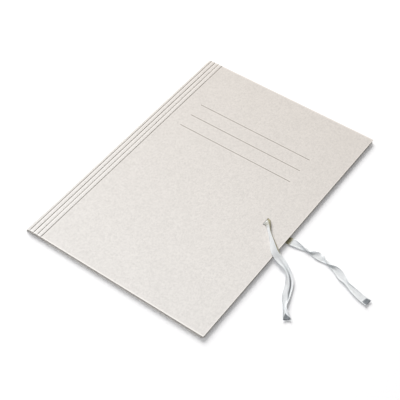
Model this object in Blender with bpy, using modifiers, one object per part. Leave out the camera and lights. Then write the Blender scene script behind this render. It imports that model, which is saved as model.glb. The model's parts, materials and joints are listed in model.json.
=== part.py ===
"""Tie file folder, closed and empty: a creased board wrapper with two end flaps and two tape ties.

Metres, +Z up. X runs from the spine to the fore edge and Y from the foot to the head. The origin is
under the middle of the closed folder, on the surface that it lies on.
"""
from math import asin, cos, radians, sin, tan

import bmesh
import bpy
from mathutils import Matrix, Vector

# Board wrapper
LENGTH = 0.320                # covers and spine strips, from foot to head
COVER_WIDTH = 0.205           # front cover, from the last crease to the fore edge
BOARD = 0.0006                # thickness of the board
ROOM = 0.0025                 # between the inner faces of the covers of the empty folder
BACK_INSET = 0.001            # how far the back cover stops short of the front one
CORNER = 0.0012               # radius of the cut corners

# Creased spine
STRIPS = 4
STRIP_WIDTH = 0.005           # from crease to crease
STRIP_CROWN = 0.00015         # how far a scored strip bulges outwards
CREASE_GAP = 0.0008           # between two boards at a crease

# End flaps, folded in over the back cover
FLAP_DEPTH = 0.055
FLAP_SLOPE = radians(45)      # of the flap's two ends
FLAP_FROM_SPINE = 0.005       # from the last crease
FLAP_FROM_FORE_EDGE = 0.002
FLAP_CREASES = 3              # scored at the same step as the spine
FLAP_CLEARANCE = 0.0003       # above the back cover
FOLD_CLEARANCE = 0.0003       # from a board's edge to the fold's axis

# Lines pressed into the front cover, and the scored lines of the flaps
LINES = 3
LINE_LENGTH = 0.146
LINE_STEP = 0.0195
LINE_FROM_HEAD = 0.0677
LINE_FROM_FORE_EDGE = 0.0405
GROOVE_WIDTH = 0.0011
GROOVE_DEPTH = 0.00018

# Tapes and the paper patches over their glued ends
TAPE_WIDTH = 0.009
TAPE = 0.0004                 # thickness of the tape
TAPE_CLEARANCE = 0.0003
GLUED = 0.024                 # length of tape inside the folder
SLOT_FROM_FORE_EDGE = 0.0310
SLOT_FROM_MIDDLE = -0.0075
SLOT_WIDTH = 0.0014
SLOT_END_CLEARANCE = 0.0006
BACK_TAPE_FROM_MIDDLE = -0.013
PATCH = 0.0002                # thickness of the paper
PATCH_WIDTH = 0.032
PATCH_MARGIN = 0.010          # paper beyond the glued end
PATCH_SETBACK = 0.004         # paper short of the slot or the board's edge
PATCH_RAMP = 0.003            # where the paper climbs over the tape
PATCH_CLEARANCE = 0.0002
TAPE_STEPS = 4                # rings between two points of a route
TAPE_STRIPS = 8               # faces across the tape
TAPE_LAG = 5                  # rings by which the tape's cross lines trail its route
FRONT_LOFT = 1.0              # height that a tape's cup keeps as it lies
BACK_LOFT = 0.5

# Finishes: colour and roughness
BOARD_FINISH = ((0.77, 0.75, 0.71), 0.85)
TAPE_FINISH = ((0.86, 0.87, 0.86), 0.95)
PAPER_FINISH = ((0.74, 0.70, 0.62), 0.90)

# Places worked out from the sizes
REST_SLOPE = asin(ROOM / STRIP_WIDTH)
SPINE_LEFT = CREASE_GAP / 2 * cos(REST_SLOPE) - BOARD * sin(REST_SLOPE)
LAST_CREASE = STRIP_WIDTH * cos(REST_SLOPE) + STRIP_WIDTH * (STRIPS - 1)
FOLD_X = -(SPINE_LEFT + LAST_CREASE + COVER_WIDTH) / 2
LAST_CREASE_X = FOLD_X + LAST_CREASE
FORE_EDGE = LAST_CREASE_X + COVER_WIDTH
BACK_EDGE = FORE_EDGE - BACK_INSET
BACK_TOP = BOARD
FRONT_UNDER = BOARD + ROOM
FRONT_TOP = FRONT_UNDER + BOARD
SLOT_X = FORE_EDGE - SLOT_FROM_FORE_EDGE
TAPE_UNDER_FRONT = FRONT_UNDER - TAPE_CLEARANCE - TAPE / 2
TAPE_OVER_FRONT = FRONT_TOP + TAPE_CLEARANCE + TAPE / 2
TAPE_OVER_BACK = BACK_TOP + TAPE_CLEARANCE + TAPE / 2

# Routes of the tapes: X, Y, height, turn about the tape's own line and how far it is cupped
FRONT_ROUTE = [
    (SLOT_X - GLUED, SLOT_FROM_MIDDLE, TAPE_UNDER_FRONT, 0, 0),
    (SLOT_X - 0.012, SLOT_FROM_MIDDLE, TAPE_UNDER_FRONT, 0, 0),
    (SLOT_X - 0.005, SLOT_FROM_MIDDLE, TAPE_UNDER_FRONT, 0, 0),
    (SLOT_X - SLOT_WIDTH / 2, SLOT_FROM_MIDDLE, TAPE_UNDER_FRONT, 0, 0),
    (SLOT_X, SLOT_FROM_MIDDLE, FRONT_UNDER + BOARD / 2, 0, 0),
    (SLOT_X + SLOT_WIDTH / 2, SLOT_FROM_MIDDLE, TAPE_OVER_FRONT, 0, 40),
    (FORE_EDGE - 0.0265, -0.0098, FRONT_TOP + 0.0011, 25, 170),
    (FORE_EDGE - 0.0195, -0.0174, FRONT_TOP + 0.0011, 50, 320),
    (FORE_EDGE - 0.0112, -0.0257, FRONT_TOP + 0.0010, 40, 230),
    (FORE_EDGE + 0.0003, -0.0365, FRONT_TOP + 0.0008, 10, 110),
    (FORE_EDGE + 0.0103, -0.0410, 0.0026, 0, 110),
    (FORE_EDGE + 0.0191, -0.0455, 0.0012, 0, 190),
    (FORE_EDGE + 0.0270, -0.0525, 0.0008, 0, 110),
    (FORE_EDGE + 0.0321, -0.0607, 0.0006, 0, 30),
    (FORE_EDGE + 0.0355, -0.0700, 0.0006, 0, 40),
    (FORE_EDGE + 0.0388, -0.0780, 0.0006, 0, 130),
    (FORE_EDGE + 0.0430, -0.0855, 0.0006, 0, 250),
    (FORE_EDGE + 0.0527, -0.0959, 0.0010, 0, 70),
]
BACK_ROUTE = [
    (BACK_EDGE - GLUED, BACK_TAPE_FROM_MIDDLE, TAPE_OVER_BACK, 0, 0),
    (BACK_EDGE - 0.012, BACK_TAPE_FROM_MIDDLE, TAPE_OVER_BACK, 0, 0),
    (BACK_EDGE, BACK_TAPE_FROM_MIDDLE, TAPE_OVER_BACK, 0, 0),
    (FORE_EDGE + 0.0100, -0.0122, 0.0012, -25, 110),
    (FORE_EDGE + 0.0175, -0.0112, 0.0011, -55, 200),
    (FORE_EDGE + 0.0250, -0.0106, 0.0012, -80, 300),
    (FORE_EDGE + 0.0308, -0.0113, 0.0011, -40, 140),
    (FORE_EDGE + 0.0366, -0.0122, 0.0008, 0, 20),
    (FORE_EDGE + 0.0425, -0.0120, 0.0011, -40, 140),
    (FORE_EDGE + 0.0483, -0.0119, 0.0012, -80, 300),
    (FORE_EDGE + 0.0585, -0.0154, 0.0010, -30, 140),
    (FORE_EDGE + 0.0687, -0.0208, 0.0008, 0, 60),
    (FORE_EDGE + 0.0758, -0.0242, 0.0009, -10, 240),
    (FORE_EDGE + 0.0850, -0.0278, 0.0008, 0, 150),
    (FORE_EDGE + 0.0965, -0.0311, 0.0008, 0, 90),
    (FORE_EDGE + 0.1059, -0.0325, 0.0012, 0, 60),
]


def collection(name):
    """A new collection in the scene."""
    made = bpy.data.collections.new(name)
    bpy.context.scene.collection.children.link(made)
    return made


def finish(name, values):
    """A plain material from a colour and a roughness."""
    colour, roughness = values
    made = bpy.data.materials.new(name)
    made.use_nodes = True
    shader = made.node_tree.nodes["Principled BSDF"]
    shader.inputs["Base Color"].default_value = (*colour, 1.0)
    shader.inputs["Roughness"].default_value = roughness
    shader.inputs["Metallic"].default_value = 0.0
    return made


def axis_empty(name, parent, place, turn=0.0):
    """An empty on a fold's axis, turned about Y."""
    made = bpy.data.objects.new(name, None)
    made.empty_display_size = STRIP_WIDTH
    made.location = place
    made.rotation_euler = (0.0, turn, 0.0)
    made.parent = parent
    PARTS.objects.link(made)
    return made


def piece(name, bm, values, parent=None, in_world=False):
    """A named part from a bmesh, drawn in its parent's frame or in the world's."""
    mesh = bpy.data.meshes.new(name)
    bm.to_mesh(mesh)
    bm.free()
    made = bpy.data.objects.new(name, mesh)
    made.data.materials.append(finish(name, values))
    made.parent = parent
    if parent and in_world:
        made.matrix_parent_inverse = parent.matrix_world.inverted()
    PARTS.objects.link(made)
    return made


def cut(target, name, bm):
    """Cut a bmesh, drawn in the target's own frame, out of the target."""
    mesh = bpy.data.meshes.new(name)
    bm.to_mesh(mesh)
    bm.free()
    cutter = bpy.data.objects.new(name, mesh)
    cutter.parent = target.parent
    cutter.hide_render = True
    cutter.display_type = "WIRE"
    CUTTERS.objects.link(cutter)
    boolean = target.modifiers.new(name, "BOOLEAN")
    boolean.operation = "DIFFERENCE"
    boolean.object = cutter


def box(low, high):
    """A box between two corners."""
    low, high = Vector(low), Vector(high)
    bm = bmesh.new()
    middle = Matrix.Translation((low + high) / 2)
    bmesh.ops.create_cube(bm, size=1.0, matrix=middle @ Matrix.Diagonal((*(high - low), 1.0)))
    return bm


def round_corners(bm, wanted):
    """Round the upright edges whose middle passes the test."""
    upright = [e for e in bm.edges if abs(e.verts[0].co.z - e.verts[1].co.z) > BOARD / 2]
    chosen = [e for e in upright if wanted((e.verts[0].co + e.verts[1].co) / 2)]
    bmesh.ops.bevel(bm, geom=chosen, offset=CORNER, segments=4, profile=0.5, affect="EDGES")
    return bm


def groove(middle, length):
    """A diamond bar along X that leaves a V groove in a face at the height of its middle."""
    bm = bmesh.new()
    bmesh.ops.create_cone(bm, cap_ends=True, segments=4, radius1=1.0, radius2=1.0, depth=1.0)
    lie = Matrix(((0, 0, length, 0), (0, -GROOVE_WIDTH, 0, 0), (2 * GROOVE_DEPTH, 0, 0, 0), (0, 0, 0, 1)))
    place = Matrix.Translation(Vector(middle) + Vector((0, 0, GROOVE_DEPTH)))
    bmesh.ops.transform(bm, matrix=place @ lie, verts=bm.verts)
    return bm


def sheet(columns, rows, place):
    """A grid whose points, 0 to 1 along and -0.5 to 0.5 across, are put where place says."""
    bm = bmesh.new()
    bmesh.ops.create_grid(bm, x_segments=columns, y_segments=rows, size=0.5)
    for vert in bm.verts:
        vert.co = place(vert.co.x + 0.5, vert.co.y)
    return bm


def thicken(target, thickness, offset):
    """Give a sheet its thickness: offset 1 on its upper side, -1 below, 0 on both."""
    solid = target.modifiers.new("thickness", "SOLIDIFY")
    solid.thickness = thickness
    solid.offset = offset
    solid.use_even_offset = True


def smooth_step(value):
    """Ease from 0 to 1."""
    value = min(max(value, 0.0), 1.0)
    return value * value * (3.0 - 2.0 * value)


def through(route, steps):
    """Points on a smooth curve through a route, with its turn and cup eased along with it."""
    rows = [Vector(point) for point in route]
    rows = [rows[0] * 2 - rows[1], *rows, rows[-1] * 2 - rows[-2]]
    found = []
    for before, start, end, after in zip(rows, rows[1:], rows[2:], rows[3:]):
        into, span, out = (spacing(*pair) for pair in ((before, start), (start, end), (end, after)))
        leaving = (start - before) / into - (end - before) / (into + span) + (end - start) / span
        coming = (end - start) / span - (after - start) / (span + out) + (after - end) / out
        for step in range(steps):
            t = step / steps
            eased = smooth_step(t)
            bent = leaving * (span * t * (1 - t) ** 2) - coming * (span * t * t * (1 - t))
            found.append(start * (1 - eased) + end * eased + bent)
    found.append(rows[-2])
    return found


def spacing(start, end):
    """Root of the distance between two route points, which keeps the curve free of loops."""
    return (Vector(end[:3]) - Vector(start[:3])).length ** 0.5


def tape(name, route, loft, parent=None):
    """A woven tape along a route, turned and cupped as it lies."""
    points = through(route, TAPE_STEPS)
    last = len(points) - 1

    def place(along, across):
        i = round(along * last)
        ahead = Vector(points[min(i + 1, last)][:3])
        behind = Vector(points[max(i - TAPE_LAG, 0)][:3])
        line = (ahead - behind).normalized()
        side = line.cross(Vector((0, 0, 1))).normalized()
        rise = side.cross(line)
        turn, cup = radians(points[i][3]), radians(points[i][4])
        side, rise = side * cos(turn) + rise * sin(turn), rise * cos(turn) - side * sin(turn)
        bend = max(cup, 0.001)
        radius = TAPE_WIDTH / bend
        sideways = radius * sin(bend * across)
        upwards = radius * (1 - cos(bend * across))
        offset = side * sideways + rise * upwards
        offset.z *= loft
        return Vector(points[i][:3]) + offset

    made = piece(name, sheet(last, TAPE_STRIPS, place), TAPE_FINISH, parent, in_world=True)
    thicken(made, TAPE, 0)
    made.data.shade_smooth()
    return made


def patch(name, mouth, middle, face, side, parent=None):
    """A paper patch on a cover's inner face, humped over the glued end of a tape.

    mouth is the X where the tape leaves the paper, face the height of the board's inner face, and
    side is 1 on top of a board and -1 under one.
    """
    length = GLUED - PATCH_SETBACK + PATCH_MARGIN
    flat = PATCH_CLEARANCE
    humped = TAPE_CLEARANCE + TAPE + PATCH_CLEARANCE

    def place(along, across):
        from_mouth = along * length
        beside = abs(across) * PATCH_WIDTH - TAPE_WIDTH / 2 - TAPE_CLEARANCE
        beyond = from_mouth - (length - PATCH_MARGIN) - TAPE_CLEARANCE
        hump = smooth_step(1 - beside / PATCH_RAMP) * smooth_step(1 - beyond / PATCH_RAMP)
        height = face + side * (flat + (humped - flat) * hump)
        return Vector((mouth - from_mouth, middle + across * PATCH_WIDTH, height))

    made = piece(name, sheet(20, 20, place), PAPER_FINISH, parent, in_world=True)
    thicken(made, PATCH, -side)
    made.data.shade_smooth()
    return made


def spine():
    """The fold, the scored strips and their creases, each turning on the one before."""
    parent = None
    place = (FOLD_X, 0, BOARD)
    turn = -REST_SLOPE
    for number in range(1, STRIPS + 1):
        crease = axis_empty(f"crease_{number - 1}", parent, place, turn)
        width = STRIP_WIDTH - CREASE_GAP

        def bulge(along, across):
            height = STRIP_CROWN * (1 - (2 * along - 1) ** 2)
            return Vector((CREASE_GAP / 2 + along * width, across * LENGTH, height))

        strip = piece(f"spine_strip_{number}", sheet(6, 1, bulge), BOARD_FINISH, crease)
        thicken(strip, BOARD, 1)
        parent = crease
        place = (STRIP_WIDTH, 0, 0)
        turn = REST_SLOPE if number == 1 else 0.0
    return axis_empty(f"crease_{STRIPS}", parent, place)


def front_cover(hinge):
    """The front cover with its pressed lines and the slot for its tape, in the last crease's frame."""
    low = (CREASE_GAP / 2, -LENGTH / 2, 0)
    high = (COVER_WIDTH, LENGTH / 2, BOARD)
    bm = round_corners(box(low, high), lambda at: at.x > COVER_WIDTH / 2)
    cover = piece("front_cover", bm, BOARD_FINISH, hinge)
    line_middle = COVER_WIDTH - LINE_FROM_FORE_EDGE - LINE_LENGTH / 2
    for number in range(LINES):
        y = LENGTH / 2 - LINE_FROM_HEAD - number * LINE_STEP
        cut(cover, f"line_cutter_{number + 1}", groove((line_middle, y, BOARD), LINE_LENGTH))
    x = COVER_WIDTH - SLOT_FROM_FORE_EDGE
    reach = TAPE_WIDTH / 2 + SLOT_END_CLEARANCE
    slot_low = (x - SLOT_WIDTH / 2, SLOT_FROM_MIDDLE - reach, -BOARD)
    slot_high = (x + SLOT_WIDTH / 2, SLOT_FROM_MIDDLE + reach, 2 * BOARD)
    cut(cover, "slot_cutter", box(slot_low, slot_high))
    return cover


def back_cover():
    """The plain back cover."""
    low = (FOLD_X + CREASE_GAP / 2, -LENGTH / 2, 0)
    high = (BACK_EDGE, LENGTH / 2, BOARD)
    bm = round_corners(box(low, high), lambda at: at.x > FOLD_X + COVER_WIDTH / 2)
    return piece("back_cover", bm, BOARD_FINISH)


def flap(name, side):
    """A tapered flap folded in over the back cover from the head (side 1) or the foot (side -1)."""
    axis_height = BOARD + FLAP_CLEARANCE / 2
    fold = axis_empty(f"{name}_fold", None, (0, side * (LENGTH / 2 + FOLD_CLEARANCE), axis_height))
    near = -side * FOLD_CLEARANCE
    far = near - side * FLAP_DEPTH
    left = LAST_CREASE_X + FLAP_FROM_SPINE
    right = BACK_EDGE - FLAP_FROM_FORE_EDGE
    bottom = FLAP_CLEARANCE / 2
    bm = box((left, min(near, far), bottom), (right, max(near, far), bottom + BOARD))
    for vert in bm.verts:
        if abs(vert.co.y) > FLAP_DEPTH / 2:
            inwards = 1 if vert.co.x < (left + right) / 2 else -1
            vert.co.x += inwards * FLAP_DEPTH * tan(FLAP_SLOPE)
    round_corners(bm, lambda at: abs(at.y) > FLAP_DEPTH / 2)
    made = piece(name, bm, BOARD_FINISH, fold)
    for number in range(1, FLAP_CREASES + 1):
        middle = ((left + right) / 2, near - side * number * STRIP_WIDTH, bottom + BOARD)
        cut(made, f"{name}_crease_cutter_{number}", groove(middle, 2 * (right - left)))
    return made


for old in list(bpy.data.objects):
    bpy.data.objects.remove(old, do_unlink=True)
PARTS = collection("tie_file_folder")
CUTTERS = collection("cutters")

cover_hinge = spine()
bpy.context.view_layer.update()
front_cover(cover_hinge)
back_cover()
flap("top_flap", 1)
flap("bottom_flap", -1)
tape("front_tape", FRONT_ROUTE, FRONT_LOFT, cover_hinge)
tape("back_tape", BACK_ROUTE, BACK_LOFT)
patch("front_tape_patch", SLOT_X - PATCH_SETBACK, SLOT_FROM_MIDDLE, FRONT_UNDER, -1, cover_hinge)
patch("back_tape_patch", BACK_EDGE - PATCH_SETBACK, BACK_TAPE_FROM_MIDDLE, BACK_TOP, 1)
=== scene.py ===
"""Looks of the tie file folder: mottled board, scored creases, pressed lines and woven tapes."""
import json
from math import cos, exp, pi, radians, sin

import bmesh
import bpy
from mathutils import Matrix, Vector


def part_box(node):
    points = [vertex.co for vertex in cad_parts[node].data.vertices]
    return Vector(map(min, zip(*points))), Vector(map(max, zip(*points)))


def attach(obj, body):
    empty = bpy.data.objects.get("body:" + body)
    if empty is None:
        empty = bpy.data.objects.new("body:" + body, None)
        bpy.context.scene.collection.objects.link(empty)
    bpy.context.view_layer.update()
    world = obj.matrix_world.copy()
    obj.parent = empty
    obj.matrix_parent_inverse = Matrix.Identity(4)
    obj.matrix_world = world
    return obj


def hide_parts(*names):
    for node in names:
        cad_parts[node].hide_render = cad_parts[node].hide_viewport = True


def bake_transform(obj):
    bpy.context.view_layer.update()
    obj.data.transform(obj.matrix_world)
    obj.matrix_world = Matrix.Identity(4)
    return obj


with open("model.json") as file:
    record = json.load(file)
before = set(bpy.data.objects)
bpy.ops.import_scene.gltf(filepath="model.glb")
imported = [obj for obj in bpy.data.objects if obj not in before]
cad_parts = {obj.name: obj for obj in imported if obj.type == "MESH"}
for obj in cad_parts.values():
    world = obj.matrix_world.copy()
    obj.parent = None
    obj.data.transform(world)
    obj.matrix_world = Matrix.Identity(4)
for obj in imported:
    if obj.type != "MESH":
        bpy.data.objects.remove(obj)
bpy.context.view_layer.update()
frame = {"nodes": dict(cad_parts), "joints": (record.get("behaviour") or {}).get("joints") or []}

NODES = frame["nodes"]
JOINTS = {joint["name"]: Vector(joint["pos_m"]) for joint in frame["joints"] if "pos_m" in joint}

# Camera, fitted to the cover's edges, the creases and the title lines in the photograph
CAMERA_AZIMUTH = radians(36.13)
CAMERA_ELEVATION = radians(49.27)
CAMERA_DISTANCE = 1.1042
CAMERA_TARGET = Vector((0.00721, -0.02137, 0.0))
CAMERA_LENS = 94.20
SENSOR = 36.0

# Places taken from the frame
FRONT_LOW, FRONT_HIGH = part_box("front_cover")
BACK_LOW, BACK_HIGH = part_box("back_cover")
FLAP_LOW, FLAP_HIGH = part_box("top_flap")
FORE_EDGE = FRONT_HIGH.x
BACK_EDGE = BACK_HIGH.x
FRONT_UNDER = FRONT_LOW.z
FRONT_TOP = FRONT_HIGH.z
BACK_TOP = BACK_HIGH.z
BOARD = BACK_HIGH.z - BACK_LOW.z
LENGTH = BACK_HIGH.y - BACK_LOW.y

# Tape, as in the CAD
TAPE_WIDTH = 0.009
TAPE = 0.0004
TAPE_CLEARANCE = 0.0003
GLUED = 0.024
SLOT_X = FORE_EDGE - 0.0310
SLOT_Y = -0.0075
SLOT_WIDTH = 0.0014
BACK_TAPE_Y = -0.013
TAPE_UNDER_FRONT = FRONT_UNDER - TAPE_CLEARANCE - TAPE / 2
TAPE_OVER_FRONT = FRONT_TOP + TAPE_CLEARANCE + TAPE / 2
TAPE_OVER_BACK = BACK_TOP + TAPE_CLEARANCE + TAPE / 2
TAPE_STEPS = 10                # rows of mesh between two route points
TAPE_STRIPS = 36
TAPE_LAG = 12                  # rows by which the tape's facing follows behind its line
TAPE_STRAIGHT = 0.001          # bend across a tape that has no cup

# Routes of the tapes: X, Y and height as in the CAD, turn about the tape's own line and cup in
# degrees (an arch where the cup is negative), place across and depth of a pleat, and painted shadow
# at the right and the left edge
FRONT_ROUTE = [
    (SLOT_X - GLUED, SLOT_Y, TAPE_UNDER_FRONT, 0, 0, 0, 0, 0, 0),
    (SLOT_X - 0.012, SLOT_Y, TAPE_UNDER_FRONT, 0, 0, 0, 0, 0, 0),
    (SLOT_X - 0.005, SLOT_Y, TAPE_UNDER_FRONT, 0, 0, 0, 0, 0, 0),
    (SLOT_X - SLOT_WIDTH / 2, SLOT_Y, TAPE_UNDER_FRONT, 0, 0, 0, 0, 0.6, 0.42),
    (SLOT_X, SLOT_Y, FRONT_UNDER + BOARD / 2, 0, 0, 0, 0, 0.7, 0.42),
    (SLOT_X + SLOT_WIDTH / 2, SLOT_Y, TAPE_OVER_FRONT, 0, -30, 0, 0, 0.9, 0.42),
    (FORE_EDGE - 0.0265, -0.0098, FRONT_TOP + 0.0011, -20, -170, 0, 0, 1.1, 0.5),
    (FORE_EDGE - 0.0195, -0.0174, FRONT_TOP + 0.0011, -40, -300, 0, 0, 1.3, 0.2),
    (FORE_EDGE - 0.0112, -0.0257, FRONT_TOP + 0.0010, -25, -210, 0, 0, 1.1, 0),
    (FORE_EDGE + 0.0003, -0.0365, FRONT_TOP + 0.0008, 0, -60, 0, 0, 0.6, 0),
    (FORE_EDGE + 0.0103, -0.0410, 0.0026, 0, 60, 0, 0.0002, 0, 0),
    (FORE_EDGE + 0.0191, -0.0455, 0.0012, 0, 190, -0.05, 0.0005, 0, 0),
    (FORE_EDGE + 0.0270, -0.0525, 0.0008, 0, 110, -0.10, 0.0009, 0, 0),
    (FORE_EDGE + 0.0321, -0.0607, 0.0006, 0, 30, -0.17, 0.0010, 0, 0),
    (FORE_EDGE + 0.0355, -0.0700, 0.0006, 0, 40, -0.25, 0.0009, 0, 0),
    (FORE_EDGE + 0.0388, -0.0780, 0.0006, 0, 130, -0.36, 0.0004, 0, 0),
    (FORE_EDGE + 0.0430, -0.0855, 0.0006, 0, 250, -0.40, 0, 0, 0),
    (FORE_EDGE + 0.0527, -0.0959, 0.0010, 0, 70, -0.40, 0, 0, 0),
]
BACK_ROUTE = [
    (BACK_EDGE - GLUED, BACK_TAPE_Y, TAPE_OVER_BACK, 0, 0, 0, 0, 0, 0),
    (BACK_EDGE - 0.012, BACK_TAPE_Y, TAPE_OVER_BACK, 0, 0, 0, 0, 0.6, 0.6),
    (BACK_EDGE, BACK_TAPE_Y, TAPE_OVER_BACK, 0, 0, 0, 0, 0.85, 0.85),
    (FORE_EDGE + 0.0100, -0.0122, 0.0012, -25, 110, 0, 0, 0, 0),
    (FORE_EDGE + 0.0175, -0.0112, 0.0011, -55, 200, 0, 0, 0, 0),
    (FORE_EDGE + 0.0250, -0.0106, 0.0012, -80, 300, 0, 0.0005, 0, 0),
    (FORE_EDGE + 0.0308, -0.0113, 0.0011, -40, 140, 0, 0, 0, 0),
    (FORE_EDGE + 0.0366, -0.0122, 0.0008, 0, 20, 0, 0, 0, 0),
    (FORE_EDGE + 0.0425, -0.0120, 0.0011, -40, 140, 0, 0, 0, 0),
    (FORE_EDGE + 0.0483, -0.0119, 0.0012, -80, 300, 0, 0.0007, 0, 0),
    (FORE_EDGE + 0.0585, -0.0154, 0.0010, -30, 140, 0, 0, 0, 0),
    (FORE_EDGE + 0.0687, -0.0208, 0.0008, 0, 60, 0, 0, 0, 0),
    (FORE_EDGE + 0.0758, -0.0242, 0.0009, -10, 240, 0, 0, 0, 0),
    (FORE_EDGE + 0.0850, -0.0278, 0.0008, 0, 150, 0, 0, 0, 0),
    (FORE_EDGE + 0.0965, -0.0311, 0.0008, 0, 90, 0, 0, 0, 0),
    (FORE_EDGE + 0.1059, -0.0325, 0.0012, 0, 60, 0, 0, 0, 0),
]
FRONT_LOFT = 1.0               # share of its height that a tape's section keeps
BACK_LOFT = 0.5
ARCH_LOFT = 0.5
PAINTED_SHADOW_REACH = 0.45             # share of the width over which the painted shadow at the right edge fades
PLEAT_WIDTH = 0.11
PLEAT_DEPTH = 0.0010
FRONT_END_SHADE = (1.8, 0.0085)     # slant and greatest depth of the painted shade inside the tape's end
BACK_END_SHADE = (3.5, 0.0052)

# Pressed title lines, as in the CAD
LINE_STEP = 0.0195
LINE_LENGTH = 0.146
FIRST_LINE_Y = FRONT_HIGH.y - 0.0677
LINE_X = FORE_EDGE - 0.0405 - LINE_LENGTH / 2

# Creases and folds
CREASES = 4
CREASE_STEP = 0.005
LAST_CREASE = JOINTS["crease_4"].x
CREASE_GAP = 0.0008
CREASE_DEPTH = 0.00025
REST_SLOPE = radians(30)
FOLD_INSIDE = 0.00002
FLAP_FOLD_INSIDE = 0.00015
FLAP_FOLD_REACH = 0.0003
WEB_STEPS = 15
WEB_ROWS = 8
WEB_LEAN = 0.0001              # of its ends, so that they don't overlap in one plane when it opens
GROOVE_TILT = (0.90, 0.99)     # upward part of the normal on the sides of a pressed line

# Colours, linear
BOARD_COLOUR = (0.775, 0.752, 0.715)
# Painted light and shade: the board made lighter toward the foot and darker toward the head
FOOT_PAINTED_LIGHT = (1.02, 1.02, 1.035)
HEAD_PAINTED_SHADE = (0.885, 0.858, 0.845)
# Painted highlight: the spine's scored strips lighter than the board
SCORED_HIGHLIGHT_COLOUR = (0.82, 0.80, 0.765)
# Painted shade: share of brightness kept by the outer face of the strip that slopes toward the key light
SLOPE_SHADE = 0.74
FOLD_COLOUR = (0.80, 0.78, 0.74)
# Painted shade in and beside the creases: darkest in the first crease, faintest in the third
CREASE_SHADE_COLOUR = (0.30, 0.28, 0.25)
DEEP_CREASE_SHADE_COLOUR = (0.20, 0.185, 0.165)
LIGHT_CREASE_SHADE_COLOUR = (0.40, 0.38, 0.345)
FAINT_CREASE_SHADE_COLOUR = (0.57, 0.55, 0.51)
# Painted shade on the sloping sides of the pressed title lines
GROOVE_SHADE_COLOUR = (0.44, 0.415, 0.375)
# Cut faces: greyer than the board, as raw cut board is, and darker still as painted shade
CUT_GREY_AND_SHADE_COLOUR = (0.46, 0.43, 0.37)
TAPE_COLOUR = (0.91, 0.945, 0.965)
# Painted shade inside the tapes' cupped ends
TAPE_END_SHADE_COLOUR = (0.225, 0.243, 0.26)
# Painted shade in the pleats' grooves
PLEAT_SHADE_COLOUR = (0.06, 0.065, 0.075)
# Painted shadow: olive-brown where a tape lies in the shade of a cover
PAINTED_SHADOW_COLOUR = (0.29, 0.265, 0.17)
PAPER_COLOUR = (0.74, 0.70, 0.62)
FLOOR_COLOUR = (0.975, 0.975, 0.985)
WORLD_COLOUR = (1.0, 0.99, 0.97)

# Board: scales of its noises, and the ranges that values are eased over, with what they become
CLOUD_SCALE = 28.0
MOTTLE_SCALE = 420.0
FIBRE_SCALE = 1500.0
FIBRE_STRETCH = (1.0, 0.35, 1.0)
FLECK_SCALE = 900.0
LAYER_SCALE = 2600.0
LAYER_STRETCH = (0.2, 0.2, 3.0)
CLOUD = (0.30, 0.70)
MOTTLE = (0.32, 0.68, 0.0, 0.9)
FIBRE = (0.35, 0.75, 0.0, 0.7)
FLECK = (0.72, 0.80, 0.0, 0.55)
LAYER = (0.35, 0.65)
OUTSIDE = (0.3, 0.6)           # upward part of the normal: the outer face
CUT_FACE = (0.45, 0.15)        # upward part of the normal: a cut edge

# Board, by place: edges paler as rubbed wear and as painted highlight, where the creases end at the foot,
# the creased part, the painted highlight on the ridge and the painted shade on the shoulder beside a
# crease, and the part with pressed lines and the painted highlight on the lip beside them
END_RUB_AND_HIGHLIGHT = (LENGTH / 2 - 0.0020, LENGTH / 2 - 0.0010, 0.0, 0.9)
FORE_RUB_AND_HIGHLIGHT = (FORE_EDGE - 0.0018, FORE_EDGE - 0.0006, 0.0, 0.5)
FOOT_RIM = (0.0008 - LENGTH / 2, 0.0022 - LENGTH / 2)
SPINE = (LAST_CREASE + CREASE_STEP / 2, LAST_CREASE + CREASE_STEP / 3)
RIDGE_HIGHLIGHT = (0.0018, 0.0010, 0.0, 0.7)
SHOULDER_SHADE = (0.0008, 0.0004, 0.0, 0.6)
LINE_ENDS = (LINE_LENGTH / 2 + 0.0010, LINE_LENGTH / 2)
LINE_BAND = (LINE_STEP * 1.2, LINE_STEP * 1.1)
LIP_HIGHLIGHT = (0.0022, 0.0012, 0.0, 0.6)

# Board, surface
BOARD_ROUGHNESS = (0.3, 0.7, 0.80, 0.92)
BOARD_SPECULAR = 0.25
BOARD_BUMP = 0.00006

# Tape: spacing of its yarns, scales of its noises, and ranges as for the board
WARP_STEP = 0.0007
WEFT_STEP = 0.0008
FUZZ_SCALE = 2500.0
SOIL_SCALE = 120.0
SOIL = (0.35, 0.75, 0.0, 0.5)
FUZZ = (0.4, 0.8, 0.0, 0.4)
PAINTED_SHADOW_RAMP = (0.3, 0.65)
END_SHADE_REACH = (0.0010, -0.0004)       # distance to the tape's end, for the painted shade inside it
END_SHADE_INSET = (0.0004, 0.0011)  # and from the tape's edge
TAPE_ROUGHNESS = (0.3, 0.7, 0.85, 0.97)
TAPE_SPECULAR = 0.2
TAPE_SHEEN = 0.25
TAPE_SCATTER = 0.0015
TAPE_BUMP = 0.00012

# Lights and floor
WORLD_STRENGTH = 0.26
WORLD_SEEN = 1.04              # strength in the camera's view, which is white
KEY = {"place": (-2.60, 2.08, 2.10), "size": 3.0, "energy": 224.0, "colour": (1.0, 0.99, 0.98)}
FILL = {"place": (0.0, -0.60, 0.90), "size": 0.6, "energy": 1.8, "colour": (0.97, 0.985, 1.03)}
FLOOR_GLOW = (0.26, 1.2, 0.065, 0.80)    # distances from the folder, and what the camera sees added
FLOOR_REACH = 3.0
FLOOR_DROP = 0.0002


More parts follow.
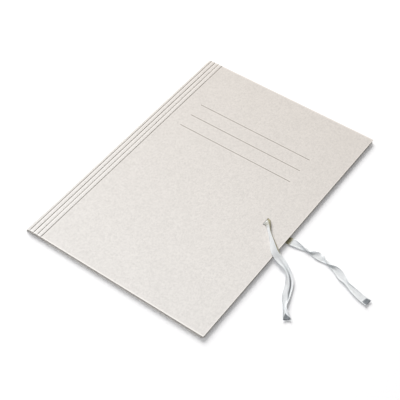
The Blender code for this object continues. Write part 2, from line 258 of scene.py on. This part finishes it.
def camera():
    """The camera at the photograph's angle."""
    data = bpy.data.cameras.new("camera")
    data.lens = CAMERA_LENS
    data.sensor_width = SENSOR
    made = bpy.data.objects.new("camera", data)
    flat = cos(CAMERA_ELEVATION)
    away = Vector((sin(CAMERA_AZIMUTH) * flat, -cos(CAMERA_AZIMUTH) * flat, sin(CAMERA_ELEVATION)))
    right = Vector((cos(CAMERA_AZIMUTH), sin(CAMERA_AZIMUTH), 0))
    turn = Matrix((right, away.cross(right), away)).transposed().to_4x4()
    made.matrix_world = Matrix.Translation(CAMERA_TARGET + away * CAMERA_DISTANCE) @ turn
    bpy.context.scene.collection.objects.link(made)
    bpy.context.scene.camera = made


class Nodes:
    """A short way to build a node material."""

    def __init__(self, name):
        self.material = bpy.data.materials.new(name)
        self.material.use_nodes = True
        self.tree = self.material.node_tree
        self.shader = self.tree.nodes["Principled BSDF"]

    def add(self, kind, inputs=None, **settings):
        """A node with its settings and its inputs, each a value or another node's output."""
        node = self.tree.nodes.new(kind)
        for key, value in settings.items():
            setattr(node, key, value)
        for key, value in (inputs or {}).items():
            self.plug(node.inputs[key], value)
        return node

    def plug(self, socket, value):
        """Set a socket, or link it."""
        if isinstance(value, bpy.types.NodeSocket):
            self.tree.links.new(value, socket)
        else:
            socket.default_value = value

    def noise(self, where, scale, detail=2.0, roughness=0.5):
        """A noise value."""
        inputs = {"Vector": where, "Scale": scale, "Detail": detail, "Roughness": roughness}
        return self.add("ShaderNodeTexNoise", inputs).outputs["Fac"]

    def value(self, name):
        """A value kept on the mesh."""
        return self.add("ShaderNodeAttribute", attribute_name=name).outputs["Fac"]

    def ramp(self, value, low, high, to_low=0.0, to_high=1.0):
        """A value eased from one range to another."""
        inputs = {"Value": value, "From Min": low, "From Max": high, "To Min": to_low, "To Max": to_high}
        node = self.add("ShaderNodeMapRange", inputs, interpolation_type="SMOOTHSTEP")
        return node.outputs["Result"]

    def sums(self, operation, first, second):
        """Arithmetic on two values."""
        return self.add("ShaderNodeMath", {0: first, 1: second}, operation=operation).outputs[0]

    def mix(self, share, first, second, blend="MIX"):
        """A mix of two colours."""
        node = self.add("ShaderNodeMix", data_type="RGBA", blend_type=blend)
        self.plug(node.inputs["Factor"], share)
        for socket, value in zip([s for s in node.inputs if s.type == "RGBA"], (first, second)):
            self.plug(socket, value if isinstance(value, bpy.types.NodeSocket) else (*value, 1.0))
        return next(s for s in node.outputs if s.type == "RGBA")

    def bump(self, height, distance, strength=1.0):
        """Plug a bump into the shader."""
        inputs = {"Height": height, "Distance": distance, "Strength": strength}
        node = self.add("ShaderNodeBump", inputs)
        self.plug(self.shader.inputs["Normal"], node.outputs["Normal"])


def tint(colour, factor):
    """A colour made lighter or darker."""
    return tuple(min(part * factor, 1.0) for part in colour)


def board_material(name, colour, creased=False, lined=False, cut_edge=True, pressed_shade=None, outer_shade=1.0):
    """Uncoated pressed board: mottling, fine fibres, a few flecks, edges paler as rubbed wear and as
    painted highlight, and cut faces greyer and darkened as painted shade.

    The crease colour given is painted shade on the outer side where a crease has been pressed in, and the
    share given is the brightness that an outer face keeps under painted shade.
    """
    made = Nodes(name)
    place = made.add("ShaderNodeTexCoord")
    where = place.outputs["Object"]
    cloud = made.noise(where, CLOUD_SCALE, 3.0)
    mottle = made.noise(where, MOTTLE_SCALE, 4.0, 0.65)
    fibre_space = made.add("ShaderNodeMapping", {"Vector": where, "Scale": FIBRE_STRETCH}).outputs[0]
    fibre = made.noise(fibre_space, FIBRE_SCALE, 3.0, 0.7)
    fleck = made.noise(where, FLECK_SCALE, 2.0, 0.8)
    shade = made.mix(made.ramp(cloud, *CLOUD), tint(colour, 0.985), tint(colour, 1.015))
    shade = made.mix(made.ramp(mottle, *MOTTLE), shade, tint(colour, 0.87))
    shade = made.mix(made.ramp(fibre, *FIBRE), shade, tint(colour, 1.14))
    shade = made.mix(made.ramp(fleck, *FLECK), shade, tint(colour, 0.72))
    corner = made.add("ShaderNodeSeparateXYZ", {"Vector": where})
    facing = made.add("ShaderNodeSeparateXYZ", {"Vector": place.outputs["Normal"]}).outputs["Z"]
    outside = made.ramp(facing, *OUTSIDE)
    # Edges paler, partly as rubbed wear and partly as painted highlight
    ends = made.ramp(made.sums("ABSOLUTE", corner.outputs["Y"], 0.0), *END_RUB_AND_HIGHLIGHT)
    fore = made.ramp(corner.outputs["X"], *FORE_RUB_AND_HIGHLIGHT)
    shade = made.mix(made.sums("MAXIMUM", ends, fore), shade, tint(colour, 1.17))
    whole = made.ramp(corner.outputs["Y"], *FOOT_RIM)
    if creased:
        aside = made.sums("SUBTRACT", corner.outputs["X"], JOINTS["crease_1"].x)
        aside = made.sums("PINGPONG", aside, CREASE_STEP / 2)
        spine = made.ramp(corner.outputs["X"], *SPINE)
        spine = made.sums("MULTIPLY", made.sums("MULTIPLY", spine, outside), whole)
        # Painted highlight on each ridge and painted shade on the shoulder beside each crease
        ridge_highlight = made.sums("MULTIPLY", spine, made.ramp(aside, *RIDGE_HIGHLIGHT))
        shade = made.mix(ridge_highlight, shade, tint(colour, 1.10))
        shoulder_shade = made.sums("MULTIPLY", spine, made.ramp(aside, *SHOULDER_SHADE))
        shade = made.mix(shoulder_shade, shade, CREASE_SHADE_COLOUR)
    if lined:
        aside = made.sums("SUBTRACT", corner.outputs["Y"], FIRST_LINE_Y)
        aside = made.sums("PINGPONG", aside, LINE_STEP / 2)
        middle = made.sums("ABSOLUTE", made.sums("SUBTRACT", corner.outputs["X"], LINE_X), 0.0)
        inside = made.ramp(middle, *LINE_ENDS)
        between = made.sums("SUBTRACT", corner.outputs["Y"], FIRST_LINE_Y - LINE_STEP)
        between = made.ramp(made.sums("ABSOLUTE", between, 0.0), *LINE_BAND)
        lined_part = made.sums("MULTIPLY", inside, between)
        # Painted highlight on the lip beside each pressed line
        lip_highlight = made.sums("MULTIPLY", lined_part, made.ramp(aside, *LIP_HIGHLIGHT))
        shade = made.mix(lip_highlight, shade, tint(colour, 1.09))
    if pressed_shade:
        # Painted shade in the crease, on its outer side, fading out at the foot
        shade = made.mix(made.sums("MULTIPLY", made.value("outer"), whole), shade, pressed_shade)
    # Painted shade on an outer face
    if outer_shade < 1.0:
        shade = made.mix(outside, shade, (outer_shade, outer_shade, outer_shade), "MULTIPLY")
    if cut_edge:
        # Cut faces greyer, and darker as painted shade
        cut = made.ramp(made.sums("ABSOLUTE", facing, 0.0), *CUT_FACE)
        layer_space = made.add("ShaderNodeMapping", {"Vector": where, "Scale": LAYER_STRETCH}).outputs[0]
        layer = made.noise(layer_space, LAYER_SCALE, 2.0)
        layers = made.mix(made.ramp(layer, *LAYER), tint(CUT_GREY_AND_SHADE_COLOUR, 0.88), tint(CUT_GREY_AND_SHADE_COLOUR, 1.08))
        shade = made.mix(cut, shade, layers)
    # Painted light and shade: lighter toward the foot, darker toward the head
    span = {"Value": corner.outputs["Y"], "From Min": -LENGTH / 2, "From Max": LENGTH / 2}
    painted_falloff = made.add("ShaderNodeMapRange", span).outputs["Result"]
    shade = made.mix(1.0, shade, made.mix(painted_falloff, FOOT_PAINTED_LIGHT, HEAD_PAINTED_SHADE), "MULTIPLY")
    made.plug(made.shader.inputs["Base Color"], shade)
    made.plug(made.shader.inputs["Roughness"], made.ramp(mottle, *BOARD_ROUGHNESS))
    made.shader.inputs["Specular IOR Level"].default_value = BOARD_SPECULAR
    made.bump(made.sums("ADD", fibre, mottle), BOARD_BUMP, 0.6)
    return made.material


def tape_material(name, end_colour):
    """Plain woven cotton tape: crossing yarns, painted shade in pleats and inside its end, painted shadow
    at its exit.
    """
    made = Nodes(name)
    flat = made.add("ShaderNodeUVMap", uv_map="tape").outputs["UV"]
    part = made.add("ShaderNodeSeparateXYZ", {"Vector": flat})
    along, across = part.outputs["X"], part.outputs["Y"]
    warp = made.sums("SINE", made.sums("MULTIPLY", across, 2 * pi / WARP_STEP), 0.0)
    weft = made.sums("SINE", made.sums("MULTIPLY", along, 2 * pi / WEFT_STEP), 0.0)
    weave = made.ramp(made.sums("MULTIPLY", warp, weft), -1.0, 1.0)
    where = made.add("ShaderNodeTexCoord").outputs["Object"]
    fuzz = made.noise(where, FUZZ_SCALE, 3.0, 0.7)
    soil = made.noise(where, SOIL_SCALE, 3.0)
    shade = made.mix(weave, tint(TAPE_COLOUR, 0.92), tint(TAPE_COLOUR, 1.03))
    shade = made.mix(made.ramp(soil, *SOIL), shade, tint(TAPE_COLOUR, 0.94))
    shade = made.mix(made.ramp(fuzz, *FUZZ), shade, tint(TAPE_COLOUR, 1.05))
    # Painted shadow where the tape leaves the cover
    shade = made.mix(made.ramp(made.value("painted_shadow"), *PAINTED_SHADOW_RAMP), shade, PAINTED_SHADOW_COLOUR)
    if end_colour:
        # Painted shade in the pleat's groove
        shade = made.mix(made.value("pleat_shade"), shade, PLEAT_SHADE_COLOUR)
        # Painted shade inside the cupped end, away from the tape's edges
        end_shaded = made.ramp(made.value("past_end_shade"), *END_SHADE_REACH)
        dark = made.sums("MULTIPLY", end_shaded, made.ramp(made.value("inset"), *END_SHADE_INSET))
        shade = made.mix(dark, shade, end_colour)
    made.plug(made.shader.inputs["Base Color"], shade)
    made.plug(made.shader.inputs["Roughness"], made.ramp(fuzz, *TAPE_ROUGHNESS))
    made.shader.inputs["Specular IOR Level"].default_value = TAPE_SPECULAR
    made.shader.inputs["Sheen Weight"].default_value = TAPE_SHEEN
    made.shader.inputs["Subsurface Weight"].default_value = 0.5
    made.shader.inputs["Subsurface Radius"].default_value = (1.0, 1.0, 1.0)
    made.shader.inputs["Subsurface Scale"].default_value = TAPE_SCATTER
    made.bump(made.sums("ADD", weave, fuzz), TAPE_BUMP, 0.7)
    return made.material


def floor_material():
    """A pale floor that keeps the object's shadow and grows white to the camera away from it."""
    made = Nodes("floor")
    made.shader.inputs["Base Color"].default_value = (*FLOOR_COLOUR, 1.0)
    made.shader.inputs["Roughness"].default_value = 0.9
    made.shader.inputs["Specular IOR Level"].default_value = 0.0
    where = made.add("ShaderNodeTexCoord").outputs["Object"]
    away = made.add("ShaderNodeVectorMath", {0: where}, operation="LENGTH").outputs["Value"]
    seen = made.add("ShaderNodeLightPath").outputs["Is Camera Ray"]
    glow = made.sums("MULTIPLY", seen, made.ramp(away, *FLOOR_GLOW))
    made.shader.inputs["Emission Color"].default_value = (1.0, 1.0, 1.0, 1.0)
    made.plug(made.shader.inputs["Emission Strength"], glow)
    return made.material


def mesh_piece(name, bm, *materials):
    """A new piece from a bmesh."""
    mesh = bpy.data.meshes.new(name)
    bm.to_mesh(mesh)
    bm.free()
    made = bpy.data.objects.new(name, mesh)
    for material in materials:
        mesh.materials.append(material)
    bpy.context.scene.collection.objects.link(made)
    return made


def smooth_step(value):
    """Ease from 0 to 1."""
    value = min(max(value, 0.0), 1.0)
    return value * value * (3.0 - 2.0 * value)


def spacing(start, end):
    """Root of the distance between two route points."""
    return (Vector(end[:3]) - Vector(start[:3])).length ** 0.5


def through(route, steps):
    """Points on a smooth curve through a route, with its other values eased along with it."""
    rows = [Vector(point) for point in route]
    rows = [rows[0] * 2 - rows[1], *rows, rows[-1] * 2 - rows[-2]]
    found = []
    for before, start, end, after in zip(rows, rows[1:], rows[2:], rows[3:]):
        into, span, out = (spacing(*pair) for pair in ((before, start), (start, end), (end, after)))
        leaving = (start - before) / into - (end - before) / (into + span) + (end - start) / span
        coming = (end - start) / span - (after - start) / (span + out) + (after - end) / out
        for step in range(steps):
            t = step / steps
            eased = smooth_step(t)
            bent = leaving * (span * t * (1 - t) ** 2) - coming * (span * t * t * (1 - t))
            found.append(start * (1 - eased) + end * eased + bent)
    found.append(rows[-2])
    return found


def tape(name, route, loft, end_shade, node, body):
    """A woven tape along its route, turned, cupped, arched and pleated as it lies."""
    points = through(route, TAPE_STEPS)
    line = [Vector(point[:3]) for point in points]
    reach = [0.0]
    for start, end in zip(line, line[1:]):
        reach.append(reach[-1] + (end - start).length)
    last = len(points) - 1
    slant, deepest = end_shade
    bm = bmesh.new()
    bmesh.ops.create_grid(bm, x_segments=last, y_segments=TAPE_STRIPS, size=0.5)
    uv = bm.loops.layers.uv.new("tape")
    past_end_shade = bm.verts.layers.float.new("past_end_shade")
    inset = bm.verts.layers.float.new("inset")
    pleat_shade = bm.verts.layers.float.new("pleat_shade")
    painted_shadow = bm.verts.layers.float.new("painted_shadow")
    flat = {}
    for vert in bm.verts:
        i = round((vert.co.x + 0.5) * last)
        across = vert.co.y
        forward = (line[min(i + 1, last)] - line[max(i - TAPE_LAG, 0)]).normalized()
        side = forward.cross(Vector((0, 0, 1))).normalized()
        rise = side.cross(forward)
        turn, cup, place, depth, right, left = points[i][3:]
        turn, bend = radians(turn), radians(cup) or TAPE_STRAIGHT
        side, rise = side * cos(turn) + rise * sin(turn), rise * cos(turn) - side * sin(turn)
        radius = TAPE_WIDTH / bend
        sag = min(radius * (1 - cos(bend / 2)), 0.0)
        height = ARCH_LOFT if bend < 0 else 1.0
        pressed_shade = exp(-((across - place) / PLEAT_WIDTH) ** 2)
        sideways = radius * sin(bend * across)
        upwards = height * (radius * (1 - cos(bend * across)) - sag) + depth * (1 - pressed_shade)
        offset = side * sideways + rise * upwards
        offset.z *= loft
        vert.co = line[i] + offset
        flat[vert] = (reach[i], across * TAPE_WIDTH)
        vert[inset] = (0.5 - abs(across)) * TAPE_WIDTH
        # Distance past the start of the painted shade at the tape's end
        vert[past_end_shade] = reach[-1] - reach[i] - min(vert[inset] * slant, deepest)
        # Share of the painted shade in the pleat's groove
        vert[pleat_shade] = min(depth / PLEAT_DEPTH, 1.0) * pressed_shade
        # Share of the painted shadow, eased from the right edge to the left
        vert[painted_shadow] = right + (left - right) * smooth_step((across + 0.5) / PAINTED_SHADOW_REACH)
    for face in bm.faces:
        face.smooth = True
        for loop in face.loops:
            loop[uv].uv = flat[loop.vert]
    made = mesh_piece(name, bm, TAPE_OUTER, TAPE_INNER)
    solid = made.modifiers.new("thickness", "SOLIDIFY")
    solid.thickness = TAPE
    solid.offset = 0.0
    solid.use_even_offset = True
    solid.material_offset = 1
    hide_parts(node)
    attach(made, body)


def web(name, section, low, high, material):
    """The board across a crease: a section swept from low to high, between the parts on either side.

    section gives the inner and the outer point at a share of the way across, as offsets from the crease.
    """
    bm = bmesh.new()
    outside = bm.verts.layers.float.new("outer")
    lean = (high - low).normalized() * WEB_LEAN
    shares = [step / WEB_STEPS for step in range(WEB_STEPS + 1)]
    pairs = [[point + lean * share for point in section(share)] for share in shares]
    ring = [inner for inner, outer in pairs] + [outer for inner, outer in reversed(pairs)]
    rows = []
    for row in range(WEB_ROWS + 1):
        at = low.lerp(high, row / WEB_ROWS)
        rows.append([bm.verts.new(at + point) for point in ring])
        for vert in rows[-1][len(pairs):]:
            vert[outside] = 1.0
    size = len(ring)
    for near, far in zip(rows, rows[1:]):
        for i in range(size):
            face = bm.faces.new((near[i], near[(i + 1) % size], far[(i + 1) % size], far[i]))
            face.smooth = True
    for row in (rows[0], rows[-1]):
        for i in range(WEB_STEPS):
            bm.faces.new((row[i], row[i + 1], row[size - 2 - i], row[size - 1 - i]))
    bmesh.ops.recalc_face_normals(bm, faces=bm.faces)
    made = mesh_piece(name, bm, material)
    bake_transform(made)


def crease_section(slope):
    """A scored crease, pressed in from outside, between a strip that slopes and one that lies level."""
    def section(share):
        turn = slope * (1 - smooth_step(share))
        along = Vector((cos(turn), 0, sin(turn)))
        square = Vector((-sin(turn), 0, cos(turn)))
        dip = CREASE_DEPTH * (1 - (2 * share - 1) ** 2)
        inner = along * ((share - 0.5) * CREASE_GAP)
        return inner - square * (dip / 2), inner + square * (BOARD - dip)
    return section


def fold_section(out, start, end, first, last, inside):
    """Board bent round a fold: straight in from start, round by the outward angles and straight to end."""
    def section(share):
        share *= 3
        angle = first + (last - first) * min(max(share - 1, 0), 1)
        facing = out * cos(angle) + Vector((0, 0, 1)) * sin(angle)
        inner = facing * inside
        if share < 1:
            inner = start.lerp(inner, share)
        if share > 2:
            inner = inner.lerp(end, share - 2)
        return inner, inner + facing * BOARD
    return section


def creases():
    """The four scored creases beside the spine's fold."""
    half = Vector((0, LENGTH / 2, 0))
    for number in range(1, CREASES + 1):
        at = JOINTS[f"crease_{number}"]
        section = crease_section(REST_SLOPE if number == 1 else 0)
        # Each crease's painted shade
        finish = CREASE_SHADES[number - 1]
        web(f"crease_{number}_board", section, at - half, at + half, finish)


def folds():
    """The fold between back cover and spine, and the folds of the two end flaps."""
    at = JOINTS["cover_open"]
    half = Vector((0, LENGTH / 2, 0))
    out = Vector((1, 0, 0))
    reach = CREASE_GAP / 2
    slope = Vector((cos(REST_SLOPE), 0, sin(REST_SLOPE)))
    first, last = radians(-90), radians(-270) + REST_SLOPE
    section = fold_section(out, out * reach, slope * reach, first, last, FOLD_INSIDE)
    web("spine_fold_board", section, at - half, at + half, BOARD_FOLD)
    for name, side in (("top_flap", 1), ("bottom_flap", -1)):
        at = JOINTS[f"{name}_fold"]
        out = Vector((0, side, 0))
        rise = Vector((0, 0, FLAP_FOLD_INSIDE))
        low = Vector((FLAP_LOW.x, at.y, at.z))
        high = Vector((FLAP_HIGH.x, at.y, at.z))
        inset = -out * FLAP_FOLD_REACH
        section = fold_section(out, inset - rise, inset + rise, radians(-90), radians(90), FLAP_FOLD_INSIDE)
        web(f"{name}_fold_board", section, low, high, BOARD_FOLD)


def press_lines(node, material):
    """Give the sloping sides of a node's pressed lines their own material, with painted shade."""
    node.data.materials.append(material)
    low, high = GROOVE_TILT
    for face in node.data.polygons:
        if low < abs(face.normal.z) < high:
            face.material_index = 1


def lamp(name, place, size, energy, colour):
    """A soft round lamp that faces the folder."""
    data = bpy.data.lights.new(name, "AREA")
    data.shape = "DISK"
    data.size = size
    data.energy = energy
    data.color = colour
    made = bpy.data.objects.new(name, data)
    made.location = place
    made.rotation_euler = (-made.location).to_track_quat("-Z", "Y").to_euler()
    bpy.context.scene.collection.objects.link(made)


def lights():
    """A pale world that looks white, a broad soft key light from beyond spine and head, and a weak fill."""
    world = bpy.data.worlds.new("world")
    bpy.context.scene.world = world
    world.use_nodes = True
    tree = world.node_tree
    background = tree.nodes["Background"]
    background.inputs["Color"].default_value = (*WORLD_COLOUR, 1.0)
    seen = tree.nodes.new("ShaderNodeLightPath").outputs["Is Camera Ray"]
    strength = tree.nodes.new("ShaderNodeMapRange")
    strength.inputs["To Min"].default_value = WORLD_STRENGTH
    strength.inputs["To Max"].default_value = WORLD_SEEN
    tree.links.new(seen, strength.inputs["Value"])
    tree.links.new(strength.outputs["Result"], background.inputs["Strength"])
    lamp("key", **KEY)
    lamp("fill", **FILL)


camera()
BOARD_PLAIN = board_material("board", BOARD_COLOUR)
BOARD_FRONT = board_material("lined_board", BOARD_COLOUR, creased=True, lined=True)
BOARD_SCORED = board_material("scored_board", SCORED_HIGHLIGHT_COLOUR, creased=True)
BOARD_SLOPE = board_material("sloping_board", SCORED_HIGHLIGHT_COLOUR, creased=True, outer_shade=SLOPE_SHADE)
BOARD_FOLD = board_material("folded_board", FOLD_COLOUR, cut_edge=False)
DEEP_CREASE = board_material("deep_crease", FOLD_COLOUR, cut_edge=False, pressed_shade=DEEP_CREASE_SHADE_COLOUR)
PLAIN_CREASE = board_material("crease", FOLD_COLOUR, cut_edge=False, pressed_shade=CREASE_SHADE_COLOUR)
LIGHT_CREASE = board_material("light_crease", FOLD_COLOUR, cut_edge=False, pressed_shade=LIGHT_CREASE_SHADE_COLOUR)
FAINT_CREASE = board_material("faint_crease", FOLD_COLOUR, cut_edge=False, pressed_shade=FAINT_CREASE_SHADE_COLOUR)
BOARD_GROOVE = board_material("pressed_line", GROOVE_SHADE_COLOUR)
PAPER = board_material("gummed_paper", PAPER_COLOUR)
CREASE_SHADES = (DEEP_CREASE, PLAIN_CREASE, FAINT_CREASE, LIGHT_CREASE)
TAPE_OUTER = tape_material("tape", None)
TAPE_INNER = tape_material("tape_inside", TAPE_END_SHADE_COLOUR)

tape("front_tie", FRONT_ROUTE, FRONT_LOFT, FRONT_END_SHADE, "front_tape", "front")
tape("back_tie", BACK_ROUTE, BACK_LOFT, BACK_END_SHADE, "back_tape", "back")
creases()
folds()

for name, node in NODES.items():
    finish = BOARD_PLAIN
    if name == "front_cover":
        finish = BOARD_FRONT
    elif name == "spine_strip_1":
        finish = BOARD_SLOPE
    elif name.startswith("spine"):
        finish = BOARD_SCORED
    elif name.endswith("patch"):
        finish = PAPER
    node.data.materials.clear()
    node.data.materials.append(finish)
for name in ("front_cover", "top_flap", "bottom_flap"):
    press_lines(NODES[name], BOARD_GROOVE)

bpy.context.scene.view_settings.view_transform = "Standard"
lights()
bm = bmesh.new()
bmesh.ops.create_grid(bm, x_segments=1, y_segments=1, size=FLOOR_REACH)
floor = mesh_piece("floor", bm, floor_material())
floor.location.z = -FLOOR_DROP
